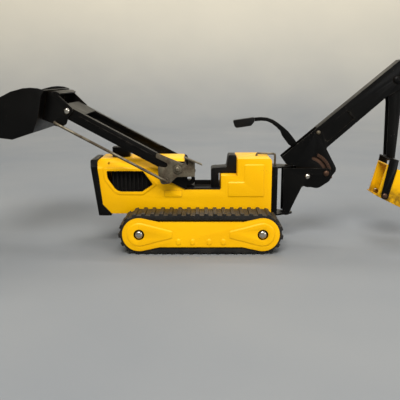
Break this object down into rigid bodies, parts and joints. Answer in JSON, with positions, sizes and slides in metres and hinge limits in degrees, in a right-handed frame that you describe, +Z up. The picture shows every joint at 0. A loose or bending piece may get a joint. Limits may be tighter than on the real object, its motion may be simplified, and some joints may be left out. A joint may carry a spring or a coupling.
{
  "type": "toy backhoe loader",
  "caption": "Pressed-steel toy crawler tractor with a lifting, dumping front loader bucket and a swinging rear digger arm worked by a hand lever.",
  "frame": {"origin": "on the ground under the middle of the bounding box", "axes": "+X toward the digger arm at the rear, -X toward the front loader bucket, -Y toward the side with the tilt lever and link rod, which is the left of a driver facing the loader bucket, +Z up"},
  "size_m": [0.4652, 0.1344, 0.1938],
  "materials": {
    "yellow_enamel": "glossy yellow enamel on pressed steel, lightly scuffed",
    "black_enamel": "glossy black enamel on pressed steel, worn at the edges",
    "black_rubber": "matt moulded rubber, dusty between the lugs",
    "black_plastic": "moulded black plastic, satin",
    "worn_steel": "unpainted steel, dull and spotted",
    "bright_plating": "bright plated, slightly tarnished",
    "rusty_steel": "rusted steel"
  },
  "bodies": {
    "chassis": {"body_shell": "yellow_enamel", "front_grille": "black_enamel", "radiator_screen": "black_enamel", "engine_block": "black_plastic", "air_cleaner": "black_enamel", "cab_liner": "black_enamel", "dash_console": "black_plastic", "seat": "black_plastic", "chassis_frame": "black_enamel", "track_belt_right": "black_rubber", "track_belt_left": "black_rubber", "track_guard_right": "yellow_enamel", "track_guard_left": "yellow_enamel", "loader_bracket_right": "black_enamel", "loader_bracket_left": "black_enamel", "loader_bolt_right": "worn_steel", "loader_bolt_left": "worn_steel", "swing_mount": "black_enamel", "swing_hinge_pin": "worn_steel", "keeper_wire": "worn_steel"},
    "front_axle": {"front_axle": "worn_steel", "front_wheel_right": "black_plastic", "front_wheel_left": "black_plastic", "front_axle_cap_right": "bright_plating", "front_axle_cap_left": "bright_plating"},
    "rear_axle": {"rear_axle": "worn_steel", "rear_wheel_right": "black_plastic", "rear_wheel_left": "black_plastic", "rear_axle_cap_right": "bright_plating", "rear_axle_cap_left": "bright_plating"},
    "loader_arms": {"loader_arms": "black_enamel"},
    "bucket_pins": {"bucket_pin_right": "bright_plating", "bucket_pin_left": "bright_plating"},
    "loader_bucket": {"loader_bucket": "black_enamel", "bucket_bracket": "black_enamel"},
    "tilt_lever": {"tilt_lever": "worn_steel"},
    "rod_collar": {"rod_collar": "worn_steel"},
    "link_rod": {"link_rod": "worn_steel"},
    "swing_bracket": {"swing_bracket": "black_enamel", "boom_pivot_rivet": "bright_plating", "boom_stop_rivet": "rusty_steel", "stop_plate": "rusty_steel"},
    "boom": {"boom": "black_enamel", "detent_strip": "rusty_steel", "lever_rivet": "worn_steel"},
    "control_lever": {"control_lever": "black_enamel", "lever_grip": "black_plastic"},
    "push_rod": {"push_rod": "worn_steel"},
    "stick": {"stick": "black_enamel", "stick_pin": "black_enamel", "yoke": "black_enamel", "yoke_rivet": "worn_steel", "rear_bucket_rivet_right": "bright_plating", "rear_bucket_rivet_left": "rusty_steel"},
    "rear_bucket": {"rear_bucket": "yellow_enamel"}
  },
  "joints": [
    {"name": "front_axle_spin", "type": "hinge", "parent": "chassis", "child": "front_axle", "pos_m": [-0.0612, 0, 0.021], "axis": [0, 1, 0], "continuous": true},
    {"name": "rear_axle_spin", "type": "hinge", "parent": "chassis", "child": "rear_axle", "pos_m": [0.063, 0, 0.021], "axis": [0, 1, 0], "continuous": true},
    {"name": "loader_lift", "type": "hinge", "parent": "chassis", "child": "loader_arms", "pos_m": [-0.023, 0, 0.0835], "axis": [0, 1, 0], "range_deg": [-54, 5]},
    {"name": "bucket_pin_turn", "type": "hinge", "parent": "loader_arms", "child": "bucket_pins", "pos_m": [-0.1335, 0, 0.1425], "axis": [0, 1, 0], "range_deg": [-5, 54]},
    {"name": "bucket_tilt", "type": "hinge", "parent": "bucket_pins", "child": "loader_bucket", "pos_m": [-0.1335, 0, 0.1425], "axis": [0, 1, 0], "range_deg": [-60, 0]},
    {"name": "loader_tilt", "type": "hinge", "parent": "chassis", "child": "tilt_lever", "pos_m": [-0.023, 0, 0.0835], "axis": [0, 1, 0], "range_deg": [-60, 0]},
    {"name": "rod_collar_turn", "type": "hinge", "parent": "tilt_lever", "child": "rod_collar", "pos_m": [-0.03535, 0, 0.072], "axis": [0, 1, 0], "range_deg": [0, 60]},
    {"name": "rod_turn", "type": "hinge", "parent": "rod_collar", "child": "link_rod", "pos_m": [-0.03535, 0, 0.072], "axis": [0, 1, 0], "range_deg": [-54, 5]},
    {"name": "backhoe_swing", "type": "hinge", "parent": "chassis", "child": "swing_bracket", "pos_m": [0.095, 0, 0.055], "axis": [0, 0, 1], "range_deg": [-50, 50]},
    {"name": "boom_lift", "type": "hinge", "parent": "swing_bracket", "child": "boom", "pos_m": [0.1154, 0, 0.0714], "axis": [0, 1, 0], "range_deg": [0, 60]},
    {"name": "stick_swing", "type": "hinge", "parent": "boom", "child": "stick", "pos_m": [0.206, 0, 0.173], "axis": [0, 1, 0], "range_deg": [-40, 12]},
    {"name": "control_lever_turn", "type": "hinge", "parent": "boom", "child": "control_lever", "pos_m": [0.1259, 0, 0.1182], "axis": [0, 1, 0], "range_deg": [-7.8, 26.1]},
    {"name": "push_rod_slide", "type": "slide", "parent": "boom", "child": "push_rod", "axis": [0.669, 0, 0.7433], "range_m": [-0.0063, 0.0019]},
    {"name": "rear_bucket_curl", "type": "hinge", "parent": "stick", "child": "rear_bucket", "pos_m": [0.197, 0, 0.0516], "axis": [0, 1, 0], "range_deg": [-35, 75]}
  ],
  "couplings": [
    {"joint": "rear_axle_spin", "follows": "front_axle_spin", "ratio": 1},
    {"joint": "bucket_pin_turn", "follows": "loader_lift", "ratio": -1},
    {"joint": "rod_turn", "follows": "loader_lift", "ratio": 1},
    {"joint": "bucket_tilt", "follows": "loader_tilt", "ratio": 1},
    {"joint": "rod_collar_turn", "follows": "loader_tilt", "ratio": -1},
    {"joint": "control_lever_turn", "follows": "stick_swing", "ratio": -0.65},
    {"joint": "push_rod_slide", "follows": "stick_swing", "m_per_rad": 0.009}
  ]
}
